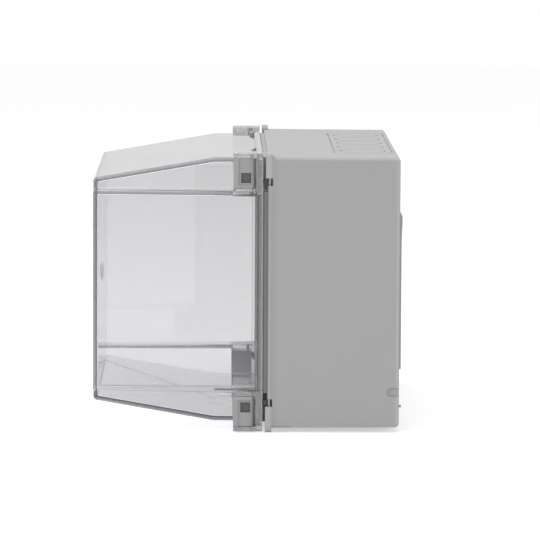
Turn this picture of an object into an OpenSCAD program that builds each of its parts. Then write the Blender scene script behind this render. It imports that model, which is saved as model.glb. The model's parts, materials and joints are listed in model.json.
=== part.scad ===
// Wall-mounting control enclosure: a grey moulded base, and a deep clear hood that
// swings on two of its four corner latches. Millimetres, +Z up. The wall is the plane
// y = 0, the hood faces -Y, and the origin is the middle of the wall fixing pattern.

/* [Base] */
// Width of the grey base
base_w = 278; // [240:2:340]
// Height of the grey base
base_h = 184; // [170:2:240]
// Depth of the base, from its back skin to its front rim
base_d = 92.2; // [70:0.2:120]
// Thickness of the moulded walls
wall = 3; // [2.5:0.1:3.6]
// How much the base narrows on each side towards the back
draft = 0.4; // [0.2:0.1:0.8]
// Radius of the base's outer edges
edge_r = 2.5; // [1.5:0.5:3.5]
// How far the back rib stands out of the back skin
rib_rise = 1.6; // [0.8:0.1:2]
// Radius of the wall fixing holes
fixing_r = 3.25; // [2.5:0.25:4]
// Distance from the base's sides to the fixing holes
fixing_in_x = 13; // [11:0.5:15]
// Distance from the base's top and bottom to the fixing holes
fixing_in_z = 16; // [11:0.5:18]

/* [Corner wells] */
// Width of the corner wells, outside the seal
well_w = 21; // [20:0.5:26]
// Height of the corner wells
well_h = 23.6; // [23:0.2:28]
// How far the corner ears stand above and below the base
ear_rise = 3; // [2.4:0.2:4]
// Height of the corner ears
ear_h = 17.4; // [15:0.2:18]
// Height of the hook slots beside the ears
slot_h = 5.2; // [5:0.2:7.4]
// Depth of the hook slots
slot_d = 6.2; // [6:0.2:9]

/* [Hood] */
// Depth of the clear hood, from its sealing face to its front
hood_d = 115; // [70:1:150]
// Thickness of the hood's flange
flange_t = 4.8; // [4.4:0.2:6]
// Gap between the hood's flange and the base's rim
seam = 0.4; // [0.3:0.1:0.6]
// Length of the level stretch before the top and bottom start to slope
level_run = 28; // [20:1:40]
// Drop of the top and bottom from the level stretch to the front
slope_drop = 14.25; // [8:0.25:20]
// Step from the base's top down to the hood's top
top_step = 2; // [1:0.5:3]
// Step from the base's sides in to the hood's sides
side_step = 1.6; // [1:0.2:3]
// How far each side leans in from the flange to the front
side_lean = 9.4; // [6:0.2:16]
// Height of the raised band between the latches
band_rise = 1.2; // [0.6:0.2:2]

/* [Latches] */
// Length of a latch, along the depth of the enclosure
latch_len = 14.6; // [13:0.2:17]
// Thickness of a latch's body
latch_t = 8.5; // [7.5:0.5:10]
// How far the latches stand proud of the base's sides
latch_proud = 1; // [0.4:0.2:2]
// Width of the screwdriver pocket
pocket_w = 6.7; // [5:0.1:7]
// Height of the screwdriver pocket
pocket_h = 6.8; // [5:0.2:8]
// Depth of the screwdriver pocket
pocket_d = 3.2; // [2:0.2:3.4]
// Radius of the latch pins
latch_pin_r = 1; // [0.8:0.1:1]
// Radius of the keeper pins
keeper_r = 1; // [0.8:0.1:1.2]
// Thickness of a hook's arm
arm_t = 2.4; // [2:0.2:3]

/* [Cable knockouts] */
// Radius of a round knockout
knockout_r = 16.25; // [10:0.25:17.5]
// Distance between the knockouts
knockout_pitch = 38; // [36:1:40]
// Depth of the thin line round a knockout
score_d = 1.6; // [1:0.1:2]

/* [Mounting plate] */
// Thickness of the steel mounting plate
plate_t = 1.5; // [1:0.5:3]
// Distance from the back wall to the mounting plate
plate_stand = 11.6; // [10:0.2:20]
// Clearance between the mounting plate and the walls
plate_gap = 7; // [4:1:12]
// Distance from the base's sides to the plate's screws
plate_screw_in_x = 39; // [36:1:50]
// Distance from the base's top and bottom to the plate's screws
plate_screw_in_z = 37; // [34:1:48]
// Nominal radius of the plate's screws
screw_r = 2; // [1.5:0.5:2.5]

/* [Hidden] */
$fn = 48;

eps = 0.5;                 // how far a cut runs past the face it opens
fit = 0.05;                // radial clearance of a pin in its hole
play = 0.3;                // clearance between parts that move past each other

half_w = base_w / 2;
half_h = base_h / 2;
back_y = -rib_rise;                      // the base's back skin
floor_y = back_y - wall;                 // inside of the back wall
rim_y = back_y - base_d;                 // the base's front rim
flange_back = rim_y - seam;              // the hood's sealing face
flange_front = flange_back - flange_t;
front_y = flange_back - hood_d;          // the hood's front
bend_y = flange_front - level_run;       // where the top starts to slope
hood_top = half_h - top_step;
hood_front_top = hood_top - slope_drop;
well_x = half_w - well_w;                // the well's inner wall, on the well's side
well_z = half_h - well_h;
groove_d = 1.6;                          // shadow groove round the rim
groove_run = 2.8;
seal_w = 1.8;                            // width of the gasket
seal_in = 1.4;                           // from the outline to the gasket
seal_wall = 0.6;                         // from a corner well to the gasket
seal_sunk = 2.6;                         // how deep the gasket lies in the flange
seal_gap = 0.15;                         // from the closed gasket's face to the rim
well_side = 4.6;                         // wall outside the well, which holds the keeper

keeper_x = half_w - 3;
keeper_y = rim_y + 4.2;                  // so far behind the rim
ear_z = half_h + ear_rise - ear_h;       // the ear's end at the slot
slot_z = ear_z - slot_h;                 // the slot's other end
ear_w = 13;
ear_front = rim_y + 1.5;
ear_back = rim_y + 5.8;

tab_t = 3.2;                             // the hood's plate over each latch
tab_top = half_h + ear_rise - 0.8;       // just below the ear's top
tab_bottom = tab_top - tab_t;
latch_x = half_w + latch_proud;          // outer face of a latch
latch_back = flange_front - play;
latch_front = latch_back - latch_len;
side_half = well_z + 0.2;                // half height of the hood's side bulge
latch_z0 = side_half + play;
latch_z1 = tab_bottom - play;
pivot_x = latch_x - pocket_d - 1.6;      // the pin passes behind the pocket
pivot_y = flange_front - 2.9;
pocket_z = (slot_z + ear_z) / 2 + 2.8;
pocket_in = 8.2;                         // from the latch's front edge to the pocket's middle
arm_h = slot_h - 1.6;
arm_z = (slot_z + ear_z) / 2;
arm_x = keeper_x - keeper_r - 2 * fit;   // the arm's face beside the keeper
shoulder = 2.3;                          // how far a latch is cut back beside the flange
nose_r = 2;                              // round front edge of a latch
pin_z0 = well_z - wall + 1;              // bottom of the hole for the latch pin
keeper_in = 3;                           // how far a keeper runs into the moulding
keeper_z0 = slot_z - keeper_in;
keeper_z1 = ear_z + keeper_in;

fixing_x = half_w - fixing_in_x;
fixing_z = half_h - fixing_in_z;

screw_x = half_w - plate_screw_in_x;
screw_z = half_h - plate_screw_in_z;
boss_r = 5;
insert_r = screw_r + 1;
insert_len = 8;
screw_len = 8;
screw_play = 0.25;                       // radial, in the plate
head_r = 2 * screw_r;
head_h = 1.4 * screw_r;
plate_y = floor_y - plate_stand;         // the plate's back face, on the bosses

// ---- shared forms ------------------------------------------------------------------

// Repeats its children at the four corners, mirrored from the upper right one.
module corners() {
    for (x = [0, 1], z = [0, 1]) corner(x, z) children();
}

module corner(left, lower) {
    mirror([left, 0, 0]) mirror([0, 0, lower]) children();
}

// Extrudes an outline in X and Z from y = from towards the front.
module along_y(from, to) {
    translate([0, from, 0]) rotate([90, 0, 0]) linear_extrude(from - to) children();
}

// Extrudes an outline in Y and Z across the enclosure.
module across(width) {
    rotate([90, 0, 90]) linear_extrude(width, center = true) children();
}

module block(x0, x1, y0, y1, z0, z1) {
    translate([x0, y0, z0]) cube([x1 - x0, y1 - y0, z1 - z0]);
}

module rounded(w, h, r) {
    square([w - 2 * r, h], center = true);
    square([w, h - 2 * r], center = true);
    for (x = [-1, 1], y = [-1, 1]) translate([x * (w / 2 - r), y * (h / 2 - r)]) circle(r);
}

// A rectangle with its four corners stepped in, as the seal runs.
module stepped(w, h, step_w, step_h) {
    square([w - 2 * step_w, h], center = true);
    square([w, h - 2 * step_h], center = true);
}

// The seal's outline on the rim, shrunk by in.
module seal_outline(in) {
    stepped(base_w - 2 * (seal_in + in), base_h - 2 * (seal_in + in),
            half_w - seal_in - well_x + seal_wall, half_h - seal_in - well_z + seal_wall);
}

// A rod along Y from y = from towards the front.
module rod_y(x, z, r, from, to) {
    translate([x, from, z]) rotate([90, 0, 0]) cylinder(r = r, h = from - to);
}

// A rod along Z.
module rod_z(x, y, r, z0, z1) {
    translate([x, y, z0]) cylinder(r = r, h = z1 - z0);
}

// ---- base --------------------------------------------------------------------------

// The drafted tub, wider at its rim, with rounded edges round the back. The sealing
// rim's outer edges are chamfered, so that it clears the gasket as the hood swings.
module tub() {
    chamfer = 0.7;
    hull() for (x = [-1, 1], z = [-1, 1]) {
        translate([x * (half_w - edge_r), rim_y + groove_run + 1, z * (half_h - edge_r)])
            rotate([90, 0, 0]) cylinder(r = edge_r, h = 1, $fn = 24);
        translate([x * (half_w - draft - edge_r), back_y - edge_r, z * (half_h - draft - edge_r)])
            sphere(edge_r, $fn = 24);
    }
    difference() {
        along_y(rim_y + groove_run + eps, rim_y) tongue_outline();
        corners() translate([half_w - groove_d, rim_y, 0]) rotate([0, 0, 45])
            cube([chamfer, chamfer, base_h], center = true);
    }
}

// The sealing rim runs round the middle and steps in beside the corner wells.
module tongue_outline() {
    stepped(base_w - 2 * groove_d, base_h - 2 * groove_d,
            half_w - groove_d - well_x, half_h - groove_d - well_z);
}

// The ear past each hook slot, proud of the tub's top and bottom. It lies back from
// the rim, so that the hood's flange clears it as it swings about the keeper.
module ear() {
    along_y(ear_back, ear_front) {
        translate([half_w - ear_w / 2, ear_z + ear_h / 2]) rounded(ear_w, ear_h, edge_r);
        translate([half_w - ear_w, ear_z]) square([ear_w, ear_h / 2]);
    }
}

// The raised field across the back. Its top edge rises to a rib, and with the nubs
// below it the rib holds the base off the wall.
module back_field() {
    field_in = 4;
    field_z = half_h - 40;
    field_y = back_y + 0.7 * rib_rise;
    rib_h = 6.5;
    ramp_h = 9.5;
    across(base_w - 2 * field_in)
        polygon([[back_y - eps, -field_z], [field_y, -field_z], [field_y, field_z - rib_h - ramp_h],
                 [0, field_z - rib_h], [0, field_z], [back_y - eps, field_z]]);
}

// A small nub beside each lower fixing hole, as high as the rib.
module back_nub() {
    nub_r = 0.9;
    rod_y(fixing_x + fixing_r + 1.5, -fixing_z - 1.8, nub_r, 0, back_y - eps);
}

// A boss for the mounting plate, with four webs to the floor.
module plate_boss(x, z) {
    web_l = 11;
    rod_y(x, z, boss_r, floor_y + eps, plate_y);
    for (turn = [0, 90]) translate([x, 0, z]) rotate([0, turn, 0])
        block(-web_l, web_l, plate_y + plate_stand / 2, floor_y + eps, -wall / 4, wall / 4);
}

// The scored outlines of the knockouts in the top wall: round ones in a row, inside
// one long cut-out for a gland plate.
module knockout_scores() {
    score_w = 0.9;
    row = 5;
    row_y = back_y - knockout_r - 7.5;
    bridge = 1.6;
    field_d = 2 * knockout_r + 8;
    field_w = row * knockout_pitch + 4;
    translate([0, row_y, half_h - score_d]) linear_extrude(score_d + ear_rise) {
        for (i = [0:row - 1]) translate([(i - (row - 1) / 2) * knockout_pitch, 0]) difference() {
            circle(knockout_r);
            circle(knockout_r - score_w);
            rotate(45 * (i % 2)) square([2 * knockout_r + eps, bridge], center = true);
        }
        difference() {
            rounded(field_w, field_d, 6);
            rounded(field_w - 2 * score_w, field_d - 2 * score_w, 6 - score_w);
        }
    }
}

// A groove at the back edge of each side, where an outside fixing lug clips in.
module lug_groove() {
    groove_w = 6;
    groove_l = 8.4;
    lug_z = -half_h + 24.5;
    deep = 1.5;
    for (x = [-1, 1]) {
        translate([x * half_w, back_y - groove_l + groove_w / 2, lug_z]) rotate([0, 90, 0])
            cylinder(d = groove_w, h = 2 * deep, center = true);
        translate([x * half_w, back_y - (groove_l - groove_w / 2) / 2 + eps, lug_z])
            cube([2 * deep, groove_l - groove_w / 2 + 2 * eps, groove_w], center = true);
    }
}

module base() {
    color("lightgray") {
        difference() {
            union() {
                tub();
                corners() ear();
                back_field();
                for (left = [0, 1]) corner(left, 0) back_nub();
            }
            along_y(floor_y, rim_y - eps)
                stepped(base_w - 2 * wall, base_h - 2 * wall, well_w, well_h);
            corners() {
                block(well_x, half_w - well_side, rim_y - eps, floor_y, well_z, half_h - wall);
                block(well_x, half_w + eps, rim_y - eps, rim_y + slot_d, slot_z, ear_z);
                rod_y(fixing_x, fixing_z, fixing_r, eps, floor_y - eps);
                rod_z(keeper_x, keeper_y, keeper_r + fit / 5, keeper_z0, keeper_z1);
            }
            knockout_scores();
            mirror([0, 0, 1]) knockout_scores();
            lug_groove();
        }
        for (x = [-1, 1], z = [-1, 1]) difference() {
            plate_boss(x * screw_x, z * screw_z);
            rod_y(x * screw_x, z * screw_z, insert_r + fit / 5,
                  plate_y + insert_len + 1, plate_y - eps);
        }
    }
}

// ---- hood --------------------------------------------------------------------------

// Side profile of the hood, level and then sloping, shrunk by in.
module hood_profile(in) {
    slope = slope_drop / (bend_y - front_y);
    front = front_y + in;
    top = hood_top - in;
    front_top = hood_front_top - in + slope * in;
    polygon([[flange_back + eps, top], [bend_y, top], [front, front_top],
             [front, -front_top], [bend_y, -top], [flange_back + eps, -top]]);
}

// Plan of the hood's side bulge, leaning in towards the front, shrunk by in.
module hood_plan(in) {
    lean = side_lean / (flange_front - front_y);
    wide = half_w - side_step - in;
    front = front_y + in;
    front_wide = wide - side_lean + lean * in;
    polygon([[wide, flange_back + eps], [wide, flange_front], [front_wide, front],
             [-front_wide, front], [-wide, flange_front], [-wide, flange_back + eps]]);
}

// Rounded outside of the hood's middle, which has the full height.
module tall_body() {
    x = well_x - edge_r;
    hull() for (sx = [-1, 1], sz = [-1, 1]) {
        translate([sx * x, flange_front, sz * (hood_top - edge_r)]) rotate([90, 0, 0])
            cylinder(r = edge_r, h = 1, $fn = 24);
        translate([sx * x, bend_y, sz * (hood_top - edge_r)]) sphere(edge_r, $fn = 24);
        translate([sx * x, front_y + edge_r, sz * (hood_front_top - edge_r)])
            sphere(edge_r, $fn = 24);
    }
}

// Rounded outside of the hood's side bulge, which has the full width.
module wide_body() {
    z = side_half - edge_r;
    hull() for (sx = [-1, 1], sz = [-1, 1]) {
        translate([sx * (half_w - side_step - edge_r), flange_front, sz * z]) rotate([90, 0, 0])
            cylinder(r = edge_r, h = 1, $fn = 24);
        translate([sx * (half_w - side_step - side_lean - edge_r), front_y + edge_r, sz * z])
            sphere(edge_r, $fn = 24);
    }
}

// The plate over each latch, which holds the outer end of the latch's pin.
module latch_tab() {
    tab_w = half_w + latch_proud / 2 - well_x + wall;
    tab_l = flange_front - latch_front;
    translate([well_x - wall, flange_front, tab_bottom]) mirror([0, 1, 0])
        linear_extrude(tab_t) {
            square([tab_w, tab_l - edge_r]);
            square([tab_w - edge_r, tab_l]);
            translate([tab_w - edge_r, tab_l - edge_r]) circle(edge_r);
        }
    block(well_x - wall, well_x, latch_front, flange_front, hood_top - eps, tab_bottom + eps);
    block(half_w - ear_w, half_w, flange_front, flange_back, half_h - edge_r, tab_top);
}

// A small wedge-shaped lug against the flange, top and bottom.
module wedge_lug(x) {
    lug_l = 3;
    lug_h = 4.6;
    lug_w = 4;
    translate([x, 0, hood_top - eps]) across(lug_w)
        polygon([[flange_front + eps, 0], [flange_front - lug_l, lug_h / 2 + eps],
                 [flange_front + eps, lug_h + eps]]);
}

module hood() {
    lug_x = well_x - 40;
    slot_x = well_x + 8;                 // the hook slot's inner end in the flange
    color("azure", 0.35) difference() {
        union() {
            tall_body();
            wide_body();
            along_y(flange_back, flange_front) rounded(base_w, base_h, edge_r);
            block(-well_x, well_x, latch_front, flange_front, -hood_top - band_rise,
                  hood_top + band_rise);
            corners() latch_tab();
            for (x = [-1, 1], z = [0, 1]) mirror([0, 0, z]) wedge_lug(x * lug_x);
        }
        across(2 * (well_x - wall)) hood_profile(wall);
        linear_extrude(2 * (side_half - wall), center = true) hood_plan(wall);
        along_y(flange_back + eps, flange_back - seal_sunk) difference() {
            seal_outline(0);
            seal_outline(seal_w);
        }
        corners() {
            block(slot_x, arm_x + 2 * play, flange_front - eps, flange_back + eps, slot_z, ear_z);
            rod_z(pivot_x, pivot_y, latch_pin_r + fit, pin_z0, tab_top + eps);
        }
    }
}

// ---- gasket ------------------------------------------------------------------------

module gasket() {
    color("dimgray") along_y(rim_y - seal_gap, flange_back - seal_sunk) difference() {
        seal_outline(fit / 2);
        seal_outline(seal_w - fit / 2);
    }
}

// ---- latches -----------------------------------------------------------------------

// Plan of a latch's body: a lever with a round front edge and a cut-back shoulder,
// so that it can turn beside the flange.
module latch_plan() {
    cut_x = pivot_x + 0.4;
    difference() {
        union() {
            translate([latch_x - latch_t, latch_front + nose_r])
                square([latch_t, latch_len - nose_r]);
            translate([latch_x - latch_t, latch_front]) square([latch_t - nose_r, latch_len]);
            translate([latch_x - nose_r, latch_front + nose_r]) circle(nose_r);
        }
        polygon([[cut_x, latch_back + eps], [latch_x + eps, latch_back + eps],
                 [latch_x + eps, latch_back - shoulder], [latch_x, latch_back - shoulder],
                 [cut_x, latch_back]]);
    }
}

// End view of a latch's body, with a round nose at its inner end.
module latch_end_view() {
    end_r = 1.6;
    inner_x = latch_x - latch_t;
    translate([inner_x, latch_z0]) square([latch_t - end_r, latch_z1 - latch_z0]);
    translate([inner_x, latch_z0 + end_r]) square([latch_t, latch_z1 - latch_z0 - end_r]);
    translate([latch_x - end_r, latch_z0 + end_r]) circle(end_r);
}

// Plan of the hook: an arm that lies inside the keeper, with a round seat before it.
module hook_plan() {
    seat_t = 3.4;
    difference() {
        union() {
            translate([arm_x - arm_t, latch_back - 2])
                square([arm_t, keeper_y + keeper_r - latch_back + 2]);
            translate([arm_x - arm_t, keeper_y - keeper_r - seat_t])
                square([keeper_x - arm_x + arm_t, keeper_r + seat_t]);
        }
        translate([keeper_x, keeper_y]) circle(keeper_r + 2 * fit);
    }
}

module latch() {
    rail = 1.3;
    recess = 0.8;
    lip = 2.6;
    color([0.62, 0.62, 0.6]) difference() {
        union() {
            intersection() {
                translate([0, 0, latch_z0]) linear_extrude(latch_z1 - latch_z0) latch_plan();
                along_y(latch_back + eps, latch_front - eps) latch_end_view();
            }
            translate([0, 0, arm_z - arm_h / 2]) linear_extrude(arm_h) hook_plan();
        }
        block(latch_x - recess, latch_x + eps, latch_front + nose_r + rail,
              latch_back - shoulder - rail / 2, latch_z0 + lip, latch_z1 + eps);
        translate([latch_x - pocket_d / 2 + eps / 2, latch_front + pocket_in, pocket_z])
            cube([pocket_d + eps, pocket_w, pocket_h], center = true);
        rod_z(pivot_x, pivot_y, latch_pin_r + fit, latch_z0 - eps, latch_z1 + eps);
    }
}

module latch_pin() {
    color("silver") rod_z(pivot_x, pivot_y, latch_pin_r, pin_z0 + fit, tab_top);
}

module keeper_pin() {
    color("silver") rod_z(keeper_x, keeper_y, keeper_r, keeper_z0 + fit, keeper_z1 - fit);
}

// ---- mounting plate ----------------------------------------------------------------

module mounting_plate() {
    plate_w = base_w - 2 * wall - 2 * plate_gap;
    plate_h = base_h - 2 * wall - 2 * plate_gap;
    color("gainsboro") along_y(plate_y, plate_y - plate_t) difference() {
        stepped(plate_w, plate_h, well_w, well_h);
        for (x = [-1, 1], z = [-1, 1])
            translate([x * screw_x, z * screw_z]) circle(screw_r + screw_play);
    }
}

// The plate's screws and inserts are numbered clockwise from the upper right.
function plate_hole(i) = [[1, 1], [1, -1], [-1, -1], [-1, 1]][i - 1];

module plate_screw(i) {
    x = plate_hole(i)[0] * screw_x;
    z = plate_hole(i)[1] * screw_z;
    seat = plate_y - plate_t;
    color("silver") {
        rod_y(x, z, screw_r, seat + screw_len, seat - head_h / 2);
        translate([x, seat, z]) rotate([90, 0, 0]) difference() {
            cylinder(r1 = head_r, r2 = 0.86 * head_r, h = head_h);
            translate([0, 0, head_h]) cube([2.4 * head_r, 0.5 * screw_r, head_h], center = true);
        }
    }
}

module boss_insert(i) {
    x = plate_hole(i)[0] * screw_x;
    z = plate_hole(i)[1] * screw_z;
    color("gold") difference() {
        rod_y(x, z, insert_r, plate_y + insert_len, plate_y);
        rod_y(x, z, screw_r + fit, plate_y + insert_len + eps, plate_y - eps);
    }
}

// ---- nodes -------------------------------------------------------------------------

base();
hood();
gasket();
mounting_plate();
corner(0, 0) latch();  // latch_upper_right
corner(0, 1) latch();  // latch_lower_right
corner(1, 0) latch();  // latch_upper_left
corner(1, 1) latch();  // latch_lower_left
corner(0, 0) latch_pin();  // latch_pin_upper_right
corner(0, 1) latch_pin();  // latch_pin_lower_right
corner(1, 0) latch_pin();  // latch_pin_upper_left
corner(1, 1) latch_pin();  // latch_pin_lower_left
corner(0, 0) keeper_pin();  // keeper_pin_upper_right
corner(0, 1) keeper_pin();  // keeper_pin_lower_right
corner(1, 0) keeper_pin();  // keeper_pin_upper_left
corner(1, 1) keeper_pin();  // keeper_pin_lower_left
plate_screw(1);  // plate_screw_1
plate_screw(2);  // plate_screw_2
plate_screw(3);  // plate_screw_3
plate_screw(4);  // plate_screw_4
boss_insert(1);  // boss_insert_1
boss_insert(2);  // boss_insert_2
boss_insert(3);  // boss_insert_3
boss_insert(4);  // boss_insert_4
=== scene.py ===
"""Looks of a hinged polycarbonate enclosure: a grey moulded base and a deep clear hood,
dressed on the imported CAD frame. Metres; +Z up, the hood faces -Y, the wall is at y = 0."""

import json
import math

import bmesh
import bpy
import numpy as np
from mathutils import Matrix, Vector

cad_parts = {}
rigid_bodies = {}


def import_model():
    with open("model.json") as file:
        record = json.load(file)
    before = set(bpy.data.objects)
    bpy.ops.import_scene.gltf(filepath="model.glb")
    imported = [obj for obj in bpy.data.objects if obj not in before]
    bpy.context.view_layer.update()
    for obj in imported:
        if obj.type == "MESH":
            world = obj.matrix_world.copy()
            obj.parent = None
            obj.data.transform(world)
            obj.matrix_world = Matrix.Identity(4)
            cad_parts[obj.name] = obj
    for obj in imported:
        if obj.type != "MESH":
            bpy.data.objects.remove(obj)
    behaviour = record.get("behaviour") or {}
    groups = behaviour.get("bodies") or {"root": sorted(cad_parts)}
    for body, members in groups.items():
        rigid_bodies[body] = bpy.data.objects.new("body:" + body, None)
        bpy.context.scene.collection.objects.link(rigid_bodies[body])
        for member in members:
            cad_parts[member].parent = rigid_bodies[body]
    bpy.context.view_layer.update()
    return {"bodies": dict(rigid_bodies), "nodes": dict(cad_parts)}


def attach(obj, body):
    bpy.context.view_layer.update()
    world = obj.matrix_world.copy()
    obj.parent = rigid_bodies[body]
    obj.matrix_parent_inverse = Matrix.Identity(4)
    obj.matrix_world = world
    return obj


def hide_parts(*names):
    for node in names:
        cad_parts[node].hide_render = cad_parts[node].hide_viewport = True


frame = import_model()
scene = bpy.context.scene

# ---- view ----------------------------------------------------------------------------
# A long lens looks at the right-hand side from a little above, nearly square on, and the
# picture is level to within a third of a degree.

azimuth = math.radians(89.26)
elevation = math.radians(5.9)
roll = math.radians(0.27)
distance = 2.942
aim = Vector((0.0, -0.0876, 0.0013))

ahead = Vector((-math.sin(azimuth) * math.cos(elevation),
                math.cos(azimuth) * math.cos(elevation), -math.sin(elevation)))
right = ahead.cross(Vector((0, 0, 1))).normalized()
up = right.cross(ahead)
rolled_right = right * math.cos(roll) + up * math.sin(roll)
rolled_up = up * math.cos(roll) - right * math.sin(roll)

camera = bpy.data.objects.new("camera", bpy.data.cameras.new("camera"))
scene.collection.objects.link(camera)
camera.data.sensor_width = 36
camera.data.lens = 277
camera.data.clip_end = 60
camera.matrix_world = (Matrix.Translation(aim - ahead * distance)
                       @ Matrix((rolled_right, rolled_up, -ahead)).transposed().to_4x4())
scene.camera = camera
scene.view_settings.view_transform = "Standard"


# ---- studio --------------------------------------------------------------------------
# A wide white floor that keeps the object's shadow, an even pale room, and one large soft
# lamp overhead.

class Wire:
    """A socket in a node tree. Arithmetic on it adds Math nodes to the same tree."""

    def __init__(self, tree, socket=None):
        self.tree = tree
        self.socket = socket

    def node(self, kind, settings=(), sockets=(), output=0):
        """Adds a node: first its settings, then the value or link of each socket."""
        made = self.tree.nodes.new("ShaderNode" + kind)
        for name, value in dict(settings).items():
            setattr(made, name, value)
        for name, value in dict(sockets).items():
            if isinstance(value, Wire):
                self.tree.links.new(value.socket, made.inputs[name])
            else:
                made.inputs[name].default_value = value
        return Wire(self.tree, made.outputs[output] if made.outputs else None)

    def maths(self, operation, first, second):
        return self.node("Math", {"operation": operation}, {0: first, 1: second})

    def __add__(self, other):
        return self.maths("ADD", self, other)

    def __sub__(self, other):
        return self.maths("SUBTRACT", self, other)

    def __rsub__(self, other):
        return self.maths("SUBTRACT", other, self)

    def __mul__(self, other):
        return self.maths("MULTIPLY", self, other)

    def __gt__(self, other):
        return self.maths("GREATER_THAN", self, other)

    def __lt__(self, other):
        return self.maths("LESS_THAN", self, other)

    def __abs__(self):
        return self.maths("ABSOLUTE", self, 0)

    def either(self, other):
        return self.maths("MAXIMUM", self, other)

    __radd__ = __add__
    __rmul__ = __mul__


def empty_tree(owner):
    """The cleared node tree of a material or world, wrapped so that it can add nodes."""
    owner.use_nodes = True
    owner.node_tree.nodes.clear()
    return Wire(owner.node_tree)


gloss_sees = 0.6


def seen_directly(tree):
    """1 for rays from the camera and those that clear plastic passes on, and a little less
    for those that a gloss passes on."""
    return (tree.node("LightPath", {}, {}, "Is Camera Ray")
            .either(gloss_sees * tree.node("LightPath", {}, {}, "Is Glossy Ray"))
            .either(tree.node("LightPath", {}, {}, "Is Transmission Ray")))


floor_size = 9.0
floor_z = -0.0951
floor_lift = 0.52

floor_mesh = bpy.data.meshes.new("floor")
corner = np.array([[-1, -1], [1, -1], [1, 1], [-1, 1]]) * floor_size / 2
floor_mesh.from_pydata(np.c_[corner, np.full(4, floor_z)].tolist(), [], [(0, 1, 2, 3)])
floor = bpy.data.objects.new("floor", floor_mesh)
scene.collection.objects.link(floor)
floor_finish = bpy.data.materials.new("floor_card")
tree = empty_tree(floor_finish)
card = tree.node("BsdfDiffuse", {}, {"Color": (0.9, 0.9, 0.9, 1)})
lift = tree.node("Emission", {}, {"Strength": floor_lift * seen_directly(tree)})
both = tree.node("AddShader", {}, {0: card, 1: lift})
tree.node("OutputMaterial", {}, {"Surface": both})
floor_mesh.materials.append(floor_finish)

room_glow = 0.5

room = bpy.data.worlds.new("pale_room")
scene.world = room
tree = empty_tree(room)
glow = room_glow + (1 - room_glow) * seen_directly(tree)
background = tree.node("Background", {}, {"Color": (1, 1, 1, 1), "Strength": glow})
tree.node("OutputWorld", {}, {"Surface": background})


def lamp(name, place, aim_at, size, watts):
    """A square area lamp at a place, turned to face a point."""
    light = bpy.data.lights.new(name, "AREA")
    light.size = size
    light.energy = watts
    holder = bpy.data.objects.new(name, light)
    scene.collection.objects.link(holder)
    holder.location = place
    holder.rotation_mode = "QUATERNION"
    holder.rotation_quaternion = (Vector(aim_at) - Vector(place)).to_track_quat("-Z", "Y")


lamp("overhead", (0.3, -0.5, 1.6), (0, -0.1, 0), size=1.6, watts=13)


# ---- base ----------------------------------------------------------------------------
# The tub is moulded from light grey polycarbonate filled with glass fibre: a fine even
# spark texture outside, slightly mottled, and softly broken along its edges.

def tinted(tree, colour, shade):
    """A colour times a shade, where 1 leaves it as it is."""
    level = tree.node("CombineColor", {}, {0: shade, 1: shade, 2: shade})
    return tree.node("Mix", {"data_type": "RGBA", "blend_type": "MULTIPLY"},
                     {0: 1.0, 6: (*colour, 1), 7: level}, 2)


def axes(tree, place):
    """The three coordinates of a place."""
    return [tree.node("SeparateXYZ", {}, {0: place}, axis) for axis in range(3)]


mottle_scale, cloud_share = 14, 0.6
# How far the painted shade in grooves and pockets reaches.
shade_reach = 0.006
grain_deep = 0.0002
gloss_swing = 0.06


def moulded(name, colour, roughness, grain, grain_size=0.0009, mottle=0.03, edge=0.0005,
            crease_shade=0.5, extra=None):
    """A moulded plastic: its colour times a faint mottle, with painted shade that darkens its
    grooves and pockets, a bump of fine grain, and edges that a small radius softens. Extra
    gives the painted light and shade that a piece's own places add to its shade, which is 1
    where it is plain."""
    finish = bpy.data.materials.new(name)
    tree = empty_tree(finish)
    place = tree.node("TexCoord", {}, {}, "Object")
    cloud = tree.node("TexNoise", {}, {"Vector": place, "Scale": mottle_scale, "Detail": 3})
    speck = tree.node("TexNoise", {}, {"Vector": place, "Scale": 1 / grain_size, "Detail": 2})
    openness = tree.node("AmbientOcclusion", {"samples": 8}, {"Distance": shade_reach}, 1)
    patchy = cloud_share * cloud + (1 - cloud_share) * speck
    # Painted shade: the colour darkens where ambient occlusion finds walls close by.
    shade = (1 - mottle + 2 * mottle * patchy) * (1 - crease_shade + crease_shade * openness)
    if extra:
        shade = shade * (1 + extra(tree, place, openness))
    tint = tinted(tree, colour, shade)
    soft = tree.node("Bevel", {"samples": 4}, {"Radius": edge})
    bump = tree.node("Bump", {}, {"Strength": grain, "Distance": grain_deep, "Height": speck,
                                  "Normal": soft})
    gloss = roughness - gloss_swing + 2 * gloss_swing * cloud
    surface = tree.node("BsdfPrincipled", {}, {"Base Color": tint, "Roughness": gloss,
                                               "Normal": bump})
    tree.node("OutputMaterial", {}, {"Surface": surface})
    return finish


# Limits on an axis are in metres, and the values named "by" are shares of the shade.
tub_side = 0.1375
rim_line, rim_shade_end, rim_shade_by = -0.0887, -0.083, 0.13
back_light_front, back_light_by = -0.0038, 0.2
lip_back, lip_low, lip_light_by = -0.0879, 0.0757, 0.12
gap_back, gap_high, gap_in, gap_shade_by = -0.0904, 0.0745, 0.13, 0.42
score_front, score_low, score_light_by = -0.075, 0.089, 0.6


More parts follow.
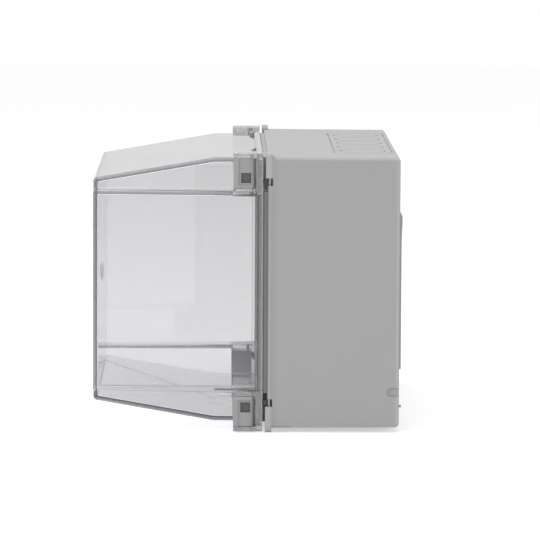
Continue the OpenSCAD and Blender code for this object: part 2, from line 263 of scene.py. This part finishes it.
def tub_light_and_shade(tree, place, openness):
    """Painted light and shade that the tub's own places add to its shade. The sides' back
    edge and their lips beside the corners carry painted light, and the scored lines above and
    below are painted lighter against the shade in them. Painted shade darkens the sides a
    little towards the rim, and the gap behind the hood's flange is painted dark for its
    shade."""
    x, y, z = axes(tree, place)
    # Painted shade: the sides grow a little darker towards the rim.
    rim_shade = tree.node("MapRange", {}, {"Value": y, "From Min": rim_line, "From Max": rim_shade_end,
                                      "To Min": rim_shade_by, "To Max": 0.0})
    # Painted light on the sides' back edge and on their lips beside the corners.
    edge_light = back_light_by * (y > back_light_front) + lip_light_by * (y < lip_back) * (abs(z) > lip_low)
    # Painted shade in the gap behind the hood's flange.
    gap = gap_shade_by * (y < gap_back) * (abs(z) < gap_high) * (abs(x) > gap_in)
    # Painted light in the scored lines, more where the shade in them is deeper.
    score = score_light_by * (1 - openness) * (y > score_front) * (abs(z) > score_low)
    side = (edge_light - rim_shade * (y > rim_line)) * (abs(x) > tub_side)
    return side + score - gap


def dress(finish, *nodes):
    """Gives CAD nodes a finish."""
    for name in nodes:
        piece = frame["nodes"][name]
        piece.data.materials.clear()
        piece.data.materials.append(finish)


dress(moulded("base_grey", (0.565, 0.567, 0.577), roughness=0.5, grain=0.25, edge=0.0003,
              crease_shade=0.15, extra=tub_light_and_shade), "base")


# ---- mounting plate, its screws and inserts, and the pins -----------------------------
# The plate is zinc plated sheet with faint rolling marks. The screws and the pins are
# bright plated steel, and the inserts in the bosses are turned brass.

metal_speck, metal_cloud = 400, 30
metal_mottle, speck_roughness = 0.06, 0.15


def plated(name, colour, roughness, stretch=(1, 1, 1)):
    """A bright metal: its colour times a faint mottle, and a roughness that a fine noise
    adds to, stretched where the metal is rolled."""
    finish = bpy.data.materials.new(name)
    tree = empty_tree(finish)
    place = tree.node("TexCoord", {}, {}, "Object")
    along = tree.node("Mapping", {}, {"Vector": place, "Scale": stretch})
    speck = tree.node("TexNoise", {}, {"Vector": along, "Scale": metal_speck, "Detail": 2})
    cloud = tree.node("TexNoise", {}, {"Vector": place, "Scale": metal_cloud, "Detail": 2})
    shade = 1 - metal_mottle + 2 * metal_mottle * cloud
    tint = tinted(tree, colour, shade)
    uneven = roughness + speck_roughness * speck
    surface = tree.node("BsdfPrincipled", {}, {"Base Color": tint, "Metallic": 1.0,
                                               "Roughness": uneven})
    tree.node("OutputMaterial", {}, {"Surface": surface})
    return finish


dress(plated("zinc_sheet", (0.62, 0.63, 0.63), roughness=0.3, stretch=(1, 1, 0.04)),
      "mounting_plate")
dress(plated("bright_steel", (0.5, 0.5, 0.495), roughness=0.35),
      *[name for name in frame["nodes"] if "pin" in name or "screw" in name])
dress(plated("turned_brass", (0.7, 0.5, 0.22), roughness=0.28),
      *[name for name in frame["nodes"] if "insert" in name])


# ---- gasket --------------------------------------------------------------------------
# A bead of grey foam, poured into the groove of the hood's flange, with a domed face
# towards the base's rim. It follows the rim, stepping in beside the four corner wells.

mm = 0.001
turn = np.linspace(0, np.pi / 2, 9)
lead = 0.4


def columns(*sizes):
    """Sizes as columns of one height, with a row for each ring."""
    return np.broadcast_arrays(*[np.reshape(np.asarray(size, float), (-1, 1))
                                 for size in sizes])


def stepped(wide, tall, in_x, in_z, corner, hollow):
    """Upper right quarters of a stepped outline, one for each ring: up the side, round
    its corner, in along the step, round the hollow corner, up, round the top corner and in
    to the middle. An arc is its centre plus its radius times (cos, sin), and the point one
    lead before it keeps the flat side's shading flat."""
    wide, tall, in_x, in_z, corner, hollow = columns(wide, tall, in_x, in_z, corner, hollow)
    c, s = np.cos(turn), np.sin(turn)
    x = [wide, wide, wide, wide - corner + corner * c, wide - corner - lead,
         in_x + hollow + lead, in_x + hollow - hollow * s, in_x, in_x,
         in_x - corner + corner * c, in_x - corner - lead, in_x / 2, 0 * in_x]
    z = [0 * in_z, in_z / 2, in_z - corner - lead, in_z - corner + corner * s, in_z,
         in_z, in_z + hollow - hollow * c, in_z + hollow + lead, tall - corner - lead,
         tall - corner + corner * s, tall, tall, tall]
    return np.hstack(x), np.hstack(z)


def whole(quarter, y):
    """Mirrors quarters into closed rings at their depths: (ring, point, xyz)."""
    x, z = quarter
    x, z = (np.hstack([x[:, :-1], -x[:, :0:-1], -x[:, :-1], x[:, :0:-1]]),
            np.hstack([z[:, :-1], z[:, :0:-1], -z[:, :-1], -z[:, :0:-1]]))
    return np.stack([x, np.broadcast_to(np.reshape(y, (-1, 1)), x.shape), z], -1)


def skin(name, rings, tube=False):
    """A closed surface: each ring's points join the next ring's in quads, and the first
    and last rings are capped, or with tube joined to each other. Sizes are in mm."""
    count, points = rings.shape[:2]
    index = np.arange(count * points).reshape(count, points)
    low = index if tube else index[:-1]
    high = np.roll(index, -1, 0) if tube else index[1:]
    quads = np.stack([low, np.roll(low, -1, 1), np.roll(high, -1, 1), high], -1)
    faces = quads.reshape(-1, 4).tolist()
    if not tube:
        faces += [index[0].tolist(), index[-1].tolist()]
    mesh = bpy.data.meshes.new(name)
    mesh.from_pydata((rings.reshape(-1, 3) * mm).tolist(), [], faces)
    shell = bmesh.new()
    shell.from_mesh(mesh)
    bmesh.ops.recalc_face_normals(shell, faces=shell.faces)
    shell.to_mesh(mesh)
    shell.free()
    return mesh


def piece(name, mesh, finish, body, slot, *nodes):
    """A finished piece in place of CAD nodes: smooth, but sharp along its edges."""
    made = bpy.data.objects.new(name, mesh)
    scene.collection.objects.link(made)
    mesh.shade_smooth()
    mesh.set_sharp_from_angle(angle=math.radians(35))
    mesh.materials.clear()
    mesh.materials.append(finish)
    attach(made, body)
    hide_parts(*nodes)
    return made


half_w, half_h = 139.0, 92.0
flange_back, flange_front = -94.2, -99.0
seal_in, seal_w, seal_deep = 1.4, 1.8, 2.6
seal_x, seal_z = 117.4, 67.8
seal_corner, seal_hollow = 2.0, 0.4
bead_face, bead_dome, bead_gap = -93.95, 0.7, 0.03

dome = np.linspace(0, np.pi, 13)
bead_half = seal_w / 2 - bead_gap
bead_in = np.r_[bead_half - bead_half * np.cos(dome), 2 * bead_half, bead_half, 0] + bead_gap
bead_y = np.r_[bead_face - bead_dome + bead_dome * np.sin(dome),
               [flange_back - seal_deep] * 3]
gasket_rings = whole(stepped(half_w - seal_in - bead_in, half_h - seal_in - bead_in,
                             seal_x - bead_in, seal_z - bead_in, seal_corner - bead_in,
                             seal_hollow + bead_in), bead_y)
grey_foam = moulded("grey_foam", (0.42, 0.42, 0.43), roughness=0.85, grain=0.6,
                    grain_size=0.0004, mottle=0.08, edge=0.0001, crease_shade=0)
piece("foam_gasket", skin("foam_gasket", gasket_rings, tube=True), grey_foam, "hood",
      "seal", "gasket")


# ---- hood ----------------------------------------------------------------------------
# A deep cover moulded in clear polycarbonate, 3 mm thick, with a flange round its open
# side. Full height in its middle and full width in its middle height, it steps in at its
# four corners, where a tab stands out over each latch and holds the latch's pin.

front_y, bend_y, band_y = -209.2, -127.0, -113.9
wall = 3.0
step_x, step_z = 118.0, 68.6
side_x, top_z = 137.4, 90.0
side_leans, top_falls = 9.4, 14.25
lean = side_leans / (flange_front - front_y)
slope = top_falls / (bend_y - front_y)
bend_half, bend_lead = 1.5, 0.7
band_rise = 1.2
flange_corner = 2.5


def side_at(y):
    """Half width at a depth: even behind the flange's front, then leaning in."""
    return side_x - lean * np.maximum(flange_front - y, 0)


def top_at(y):
    """Half height at a depth: level, a soft bend 3 mm long, then a straight slope."""
    past = bend_y - y
    return top_z - slope * np.where(np.abs(past) < bend_half,
                                    (past + bend_half) ** 2 / (4 * bend_half),
                                    np.maximum(past, 0))


def plain(wide, tall, in_x, in_z, corner):
    """The same quarters of points, pushed out onto a plain rounded rectangle."""
    wide, tall, in_x, in_z, corner = columns(wide, tall, in_x, in_z, corner)
    c, s = np.cos(turn), np.sin(turn)
    blunt, past_step = 2.0, 6.0
    x = [wide, wide, wide, wide + 0 * c, wide, wide, wide - corner + corner * c,
         wide - corner - lead, in_x + past_step, in_x - blunt + blunt * c,
         in_x - blunt - lead, in_x / 2, 0 * in_x]
    z = [0 * in_z, in_z / 2, in_z - blunt - lead, in_z - blunt + blunt * s, in_z + past_step,
         tall - corner - lead, tall - corner + corner * s, tall, tall, tall + 0 * c,
         tall, tall, tall]
    return np.hstack(x), np.hstack(z)


def hood_shell():
    """The hood's skin as rings: the front's round edge, the walls back to a raised band,
    the band up to the flange, the flange with its groove, and the inner walls out to the
    front. A round edge draws its rings in by its radius times (1 - cos) of the turn."""
    bow = np.linspace(np.pi / 2, 0, 8)
    edge, corner_r, hollow_r = 2.2, 2.5, 0.8
    inset = np.r_[edge + 0.5, edge * (1 - np.cos(bow)), 0]
    y = front_y + np.r_[0, edge * (1 - np.sin(bow)), edge + lead]
    bend = bend_y + np.r_[-bend_half - bend_lead, np.linspace(-bend_half, bend_half, 5),
                          bend_half + bend_lead]
    y = np.r_[y, bend, band_y - lead, band_y]
    inset = np.r_[inset, np.zeros(len(bend) + 2)]
    outer = whole(stepped(side_at(y) - inset, top_at(y) - inset, step_x - inset,
                          step_z - inset, np.maximum(corner_r - inset, 0.2),
                          hollow_r + inset), y)
    y = np.array([band_y, band_y + 0.15, band_y + 0.4, band_y + 0.8, flange_front - lead,
                  flange_front])
    rise = np.array([band_rise - 0.4, band_rise - 0.15, band_rise, band_rise, band_rise,
                     band_rise])
    band = whole(stepped(side_at(y), top_z + rise, step_x, step_z, corner_r, hollow_r), y)

    rim = 0.7
    bow = np.linspace(0, np.pi / 2, 6)
    inset = np.r_[rim * (1 - np.sin(bow)), 0, 0, rim * (1 - np.cos(bow))]
    y = np.r_[flange_front + rim * (1 - np.cos(bow)), flange_front + rim + lead,
              flange_back - rim - lead, flange_back - rim + rim * np.sin(bow)]
    flange = whole(plain(half_w - inset, half_h - inset, step_x, step_z,
                         flange_corner - inset), y)

    inset = np.array([0, 0, seal_w, seal_w])
    y = flange_back - np.array([0, seal_deep, seal_deep, 0])
    groove = whole(stepped(half_w - seal_in - inset, half_h - seal_in - inset,
                           seal_x - inset, seal_z - inset, seal_corner - inset,
                           seal_hollow + inset), y)

    edge, corner_r, hollow_r = 0.6, 0.7, 0.4
    end_y, beside = front_y + wall, 0.6
    y = np.r_[flange_back, flange_back - lead, flange_front + beside, flange_front,
              flange_front - beside, bend[::-1], end_y + edge + lead]
    inset = np.zeros(len(y))
    bow = np.linspace(0, np.pi / 2, 7)
    y = np.r_[y, end_y + edge * (1 - np.sin(bow)), end_y]
    inset = np.r_[inset, edge * (1 - np.cos(bow)), edge + 0.5]
    inner = whole(stepped(side_at(y) - wall - inset, top_at(y) - wall - inset,
                          step_x - wall - inset, step_z - wall - inset,
                          np.maximum(corner_r - inset, 0.1), hollow_r + inset), y)
    return skin("hood", np.concatenate([outer, band, flange, groove, inner]))


def slab(x, y, z, corner, edge):
    """Rings of a rounded block between limits on each axis: a rectangle with round corners
    carried up in z, drawn in by edge times (1 - sin) of the rise at both ends."""
    rise = np.linspace(0, np.pi / 2, 5)
    drawn = edge * (1 - np.sin(rise))
    inset = np.r_[drawn, drawn[::-1]][:, None, None]
    up_z = edge * (1 - np.cos(rise))
    height = np.r_[z[0] + up_z, z[1] - up_z[::-1]]
    arc = np.linspace(0, np.pi / 2, 7)
    angle = arc + np.arange(4)[:, None] * np.pi / 2
    sign = np.array([[1, 1], [-1, 1], [-1, -1], [1, -1]])
    middle = np.array([sum(x), sum(y)]) / 2
    reach = np.array([x[1] - x[0], y[1] - y[0]]) / 2 - corner
    centre = (middle + sign * reach)[None, :, None, :]
    out = np.stack([np.cos(angle), np.sin(angle)], -1)[None]
    flat = (centre + (corner - inset[..., None]) * out).reshape(len(height), -1, 2)
    level = np.broadcast_to(height[:, None, None], (*flat.shape[:2], 1))
    return np.concatenate([flat, level], -1)


def mirrored(rings):
    """The rings as given at the upper right, and mirrored into the other three corners."""
    return [rings * (x, 1, z) for x in (1, -1) for z in (1, -1)]


def tool(name, *stacks):
    """A helper object from one or more closed skins, to join to a piece or cut from it."""
    shell = bmesh.new()
    for stack in stacks:
        shell.from_mesh(skin(name, stack))
    mesh = bpy.data.meshes.new(name)
    shell.to_mesh(mesh)
    shell.free()
    made = bpy.data.objects.new(name, mesh)
    scene.collection.objects.link(made)
    return made


def worked(mesh, *steps):
    """A mesh after Boolean steps, each an operation and a tool, which is used up."""
    blank = bpy.data.objects.new("blank", mesh)
    scene.collection.objects.link(blank)
    for operation, cutter in steps:
        modifier = blank.modifiers.new("work", "BOOLEAN")
        modifier.operation = operation
        modifier.solver = "EXACT"
        modifier.use_self = operation == "UNION"
        modifier.object = cutter
    graph = bpy.context.evaluated_depsgraph_get()
    result = bpy.data.meshes.new_from_object(blank.evaluated_get(graph))
    for helper in [blank] + [cutter for operation, cutter in steps]:
        bpy.data.objects.remove(helper)
    return result


lug_x, lug_half, lug_foot = 78.0, 2.0, 91.1


def wedge_lug():
    """Rings across the width of a wedge that leans on the flange: its tip, its nose and
    its sunk foot. The first and last rings are drawn in at the tip and the nose."""
    across = np.linspace(-1, 1, 9)[:, None]
    drawn = 0.3 * (np.abs(across) == 1)
    x = lug_x + lug_half * np.sign(across) * np.minimum(np.abs(across) * 1.04, 1)
    y = flange_front + np.array([0.6, -3.0, 0.6]) + drawn * [0, 1, 0]
    z = lug_foot + np.array([3.0, 1.0, -0.8]) - drawn * [1, 0, 0]
    return np.stack([np.broadcast_to(x, y.shape), y, z], -1)


def post(x, y, z, radius, edge):
    """Rings of a round post about a point, between two heights."""
    return slab((x - radius, x + radius), (y - radius, y + radius), z, radius - 0.001, edge)


# At each corner: the tab over the latch, the ear behind it on the flange, the clear sill
# at the latch's inner end, the root that ties the tab to the step, the gap that the hook
# passes through, and the shallow hole over the pin.
pivot_x, pivot_y, pin_r = 135.2, -101.9, 1.05
hole_deep = 0.2
tab_top = 94.2
behind_front = flange_front + 1
tab = slab((115.5, 139.5), (band_y, behind_front), (91, tab_top), 2.4, 0.5)
ear = slab((126, 139), (flange_front, flange_back), (89.5, tab_top), 1.2, 0.6)
sill = slab((117.5, 136), (band_y + 0.2, behind_front), (67.5, 70.6), 1.0, 0.95)
root = slab((115.2, 118), (band_y + 0.2, behind_front), (88, 92), 0.6, 0.3)
hook_gap = slab((126, 135.5), (flange_front - 3, flange_back + 3), (72.4, 77.6), 0.3, 0.2)
pin_hole = post(pivot_x, pivot_y, (tab_top - hole_deep, 95.5), pin_r, 0.05)

# Limits on an axis are in metres.
glass_grey = (0.79, 0.79, 0.798, 1)
milk_and_highlight_grey = (0.7, 0.702, 0.71, 1)
dark_patch_grey = (0.28, 0.28, 0.285, 1)
corner_milk, rim_highlight = 0.38, 0.6
corner_in, corner_low, corner_front = 0.1152, 0.0675, -0.1145
ledge_mid, ledge_half, ledge_side, ledge_shade = 0.0671, 0.0014, 0.1366, 0.55
rim_back = -0.0951
ellipse_y, ellipse_z, ellipse_wide, ellipse_tall, ellipse_dark = -0.203, 0.0133, 0.0016, 0.0072, 0.37
most_gloss, most_bounces = 2.5, 9.5


def clear_plastic():
    """Clear polycarbonate: a glass that absorbs a little inside. Rays with too many bounces
    end in a pale haze, where half of them pass on, and shadow rays pass straight through.
    It is milky in the corners round the latches, with a painted highlight along the back of
    the flange's rim, and has painted shade along the outer ends of the upper ledges and a
    faint dark grey ellipse on the right side."""
    finish = bpy.data.materials.new("clear_plastic")
    tree = empty_tree(finish)
    glass = tree.node("BsdfPrincipled", {}, {"Base Color": glass_grey, "Roughness": 0.02,
                                             "IOR": 1.585, "Transmission Weight": 1.0})
    deep = ((tree.node("LightPath", {}, {}, "Glossy Depth") > most_gloss)
            .either(tree.node("LightPath", {}, {}, "Ray Depth") > most_bounces))
    haze = tree.node("BsdfDiffuse", {}, {"Color": (0.9, 0.9, 0.92, 1)})
    leak = tree.node("BsdfTransparent", {}, {"Color": (0.7, 0.7, 0.73, 1)})
    dim = tree.node("MixShader", {}, {0: 0.5, 1: haze, 2: leak})
    lasting = tree.node("MixShader", {}, {0: deep, 1: glass, 2: dim})

    x, y, z = axes(tree, tree.node("TexCoord", {}, {}, "Object"))
    outside = 1 - tree.node("NewGeometry", {}, {}, "Backfacing")
    corner = (abs(x) > corner_in) * (abs(z) > corner_low) * (y > corner_front)
    # Painted highlight: a pale strip along the back of the flange's rim.
    rim = (y > rim_back) * (abs(x) > tub_side)
    milk_and_highlight = (corner_milk * corner).either(rim_highlight * rim)
    milk_and_highlight_bsdf = tree.node("BsdfDiffuse", {}, {"Color": milk_and_highlight_grey})
    lasting = tree.node("MixShader", {}, {0: milk_and_highlight, 1: lasting, 2: milk_and_highlight_bsdf})

    # Painted shade along the outer ends of the upper ledges.
    ledge = ((abs(z - ledge_mid) < ledge_half) * (y < corner_front) * outside
             * (abs(x) - lean * y > ledge_side - lean * flange_front * mm))
    # A faint dark grey ellipse on the outside of the right side.
    across = (y - ellipse_y) * (1 / ellipse_wide)
    along = (z - ellipse_z) * (1 / ellipse_tall)
    ellipse = tree.node("MapRange", {}, {"Value": across * across + along * along,
                                      "From Min": 1.0, "From Max": 0.4,
                                      "To Min": 0.0, "To Max": ellipse_dark})
    darkened = (ledge_shade * ledge).either(ellipse * (x > 0) * outside)
    dark_patch = tree.node("BsdfDiffuse", {}, {"Color": dark_patch_grey})
    lasting = tree.node("MixShader", {}, {0: darkened, 1: lasting, 2: dark_patch})

    pass_on = tree.node("BsdfTransparent", {}, {"Color": (0.86, 0.865, 0.87, 1)})
    shadow = tree.node("LightPath", {}, {}, "Is Shadow Ray")
    mixed = tree.node("MixShader", {}, {0: shadow, 1: lasting, 2: pass_on})
    inside = tree.node("VolumeAbsorption", {}, {"Color": (0, 0.01, 0.07, 1), "Density": 4})
    tree.node("OutputMaterial", {}, {"Surface": mixed, "Volume": inside})
    return finish


def face_middles(mesh):
    """The middle of every face, in mm, by which a face is told to be on a lug, a hook or a
    pocket."""
    middle = np.empty(3 * len(mesh.polygons))
    mesh.polygons.foreach_get("center", middle)
    return middle.reshape(-1, 3) / mm


hood = worked(hood_shell(),
              ("UNION", tool("tabs", *mirrored(tab), *mirrored(ear), *mirrored(root),
                             *mirrored(sill), *mirrored(wedge_lug()))),
              ("DIFFERENCE", tool("gaps", *mirrored(hook_gap), *mirrored(pin_hole))))
piece("clear_hood", hood, clear_plastic(), "hood", "hood_clear", "hood")

near = 0.1
# Painted shade: the clear wedge lugs are given a dark grey for the shade that darkens them.
lug_shade = moulded("lug_shade", (0.36, 0.36, 0.365), roughness=0.4, grain=0.1, crease_shade=0)
hood.materials.append(lug_shade)
middle = face_middles(hood)
on_lug = ((np.abs(np.abs(middle[:, 0]) - lug_x) < lug_half + near)
          & (np.abs(middle[:, 2]) > lug_foot + near / 2)
          & (middle[:, 1] < flange_front - near) & (middle[:, 1] > band_y + near))
hood.polygons.foreach_set("material_index", on_lug.astype(np.int32))


# ---- latches -------------------------------------------------------------------------
# Four moulded levers, one in each corner outside the seal. Each turns on its pin beside
# the flange and reaches through it with a hook, painted dark for the shade in its slot. A
# sunk panel, open at its outer end, holds the pocket for a screwdriver, painted dark for
# the shade inside it.

latch_x, latch_in, latch_back = 140.0, 131.5, -99.3
latch_low, latch_high = 70.9, 90.7
latch_edge, latch_nose = 0.45, 1.0
panel_deep, pocket_deep = 0.8, 3.2
pocket_y, pocket_z = (band_y + 4.85, band_y + 11.55), (74.4, 81.2)
keeper_x, keeper_y = 136.0, -89.6
seat_r = 1.1
hook_in, hook_out = 132.5, 134.9
hook_z = (73.2, 76.8)
arc_points = 9


def rounded_plan(corners, radii, inset):
    """An outline with round corners, drawn in: each corner's arc runs about the point that
    lies one radius inside both of its edges, with the radius less the inset."""
    corners = np.asarray(corners, float)
    before = corners - np.roll(corners, 1, 0)
    after = np.roll(corners, -1, 0) - corners
    before /= np.linalg.norm(before, axis=1)[:, None]
    after /= np.linalg.norm(after, axis=1)[:, None]
    start = np.arctan2(-before[:, 0], before[:, 1])
    swing = np.arctan2(before[:, 0] * after[:, 1] - before[:, 1] * after[:, 0],
                       (before * after).sum(1))
    radii = np.reshape(radii, (-1, 1))
    reach = radii[:, 0] / np.cos(swing / 2)
    middle = start + swing / 2 + np.pi
    centre = corners + reach[:, None] * np.stack([np.cos(middle), np.sin(middle)], -1)
    angle = start[:, None] + swing[:, None] * np.linspace(0, 1, arc_points)
    arc = np.stack([np.cos(angle), np.sin(angle)], -1)
    return (centre[:, None] + (radii - inset)[..., None] * arc).reshape(-1, 2)


def latch_body():
    """The lever's plan carried up in z, drawn in at both ends. The inner end of its outer
    face has a bigger round nose, whose reach is its radius times the cosine of the turn."""
    plan = [(latch_in, band_y), (latch_x, band_y), (latch_x, latch_back - 2.3),
            (pivot_x + 0.4, latch_back), (latch_in, latch_back)]
    radii = [0.6, 2.0, 0.8, 0.8, 0.6]
    rise = np.linspace(0, np.pi / 2, 6)
    inset = np.r_[latch_edge * (1 - np.sin(rise)), 0, 0, 0, latch_edge * (1 - np.cos(rise))]
    z = np.r_[latch_low + latch_edge * (1 - np.cos(rise)),
              latch_low + latch_nose * np.array([0.6, 0.8, 1.0]),
              latch_high - latch_edge + latch_edge * np.sin(rise)]
    rings = np.stack([np.c_[rounded_plan(plan, radii, step),
                            np.full(arc_points * len(plan), level)]
                      for step, level in zip(inset, z)])
    below = np.maximum(latch_low + latch_nose - z, 0)
    limit = latch_x - latch_nose + np.sqrt(np.maximum(latch_nose ** 2 - below ** 2, 0))
    rings[..., 0] = np.minimum(rings[..., 0], limit[:, None])
    return rings


def hook():
    """The hook's plan, an arm with a quarter round seat before the keeper, carried up."""
    turned = np.linspace(-np.pi / 2, -np.pi, arc_points)
    seat = np.c_[keeper_x + seat_r * np.cos(turned), keeper_y + seat_r * np.sin(turned)]
    root_y, nose_y, tip_y = latch_back - 2, keeper_y - 4.4, keeper_y + 1
    nose_cut, tip_cut = 0.4, 0.3
    plan = np.array([(hook_in, root_y), (hook_out, root_y), (hook_out, nose_y),
                     (keeper_x - nose_cut, nose_y), (keeper_x, nose_y + nose_cut), *seat,
                     (hook_out, tip_y - tip_cut), (hook_out - tip_cut, tip_y),
                     (hook_in + tip_cut, tip_y), (hook_in, tip_y - tip_cut)])
    return np.stack([np.c_[plan, np.full(len(plan), level)] for level in hook_z])


past_face = latch_x + 3
panel = slab((latch_x - panel_deep, past_face), (band_y + 3.3, latch_back - 2.95),
             (72.8, 95), 0.3, 0.25)
pocket = slab((latch_x - pocket_deep, past_face), pocket_y, pocket_z, 0.3, 0.25)
bore = post(pivot_x, pivot_y, (60, 95), pin_r + 0.05, 0.01)
latch_grey = moulded("latch_grey", (0.5, 0.5, 0.5), roughness=0.4, grain=0.2, crease_shade=0.25)
# Painted shade: the hook is given a dark grey for the shade in its slot.
hook_shade = moulded("hook_shade", (0.13, 0.13, 0.132), roughness=0.4, grain=0.2)
# Painted shade: the pocket's faces are given a darker grey for the shade inside it.
pocket_shade = moulded("pocket_shade", (0.26, 0.26, 0.26), roughness=0.5, grain=0.2, crease_shade=0.3)

for name in [name for name in frame["bodies"] if name.startswith("latch_")]:
    side = np.array([1 if name.endswith("right") else -1, 1, 1 if "upper" in name else -1])
    lever = worked(skin("lever", latch_body() * side),
                   ("UNION", tool("hook", hook() * side)),
                   ("DIFFERENCE", tool("bore", bore * side)),
                   ("DIFFERENCE", tool("panel", panel * side)),
                   ("DIFFERENCE", tool("pocket", pocket * side)))
    piece(name + "_lever", lever, latch_grey, name, "latch_grey", name)
    lever.materials.append(hook_shade)
    lever.materials.append(pocket_shade)
    middle = face_middles(lever) * side
    on_hook = middle[:, 1] > latch_back + near
    in_pocket = ((middle[:, 0] < latch_x - panel_deep - near)
                 & (middle[:, 0] > latch_x - pocket_deep - near)
                 & (np.abs(middle[:, 1] - np.mean(pocket_y)) < np.ptp(pocket_y) / 2 + near)
                 & (np.abs(middle[:, 2] - np.mean(pocket_z)) < np.ptp(pocket_z) / 2 + near))
    # The hook's faces and the pocket's faces take their painted shade.
    lever.polygons.foreach_set("material_index", (on_hook + 2 * in_pocket).astype(np.int32))
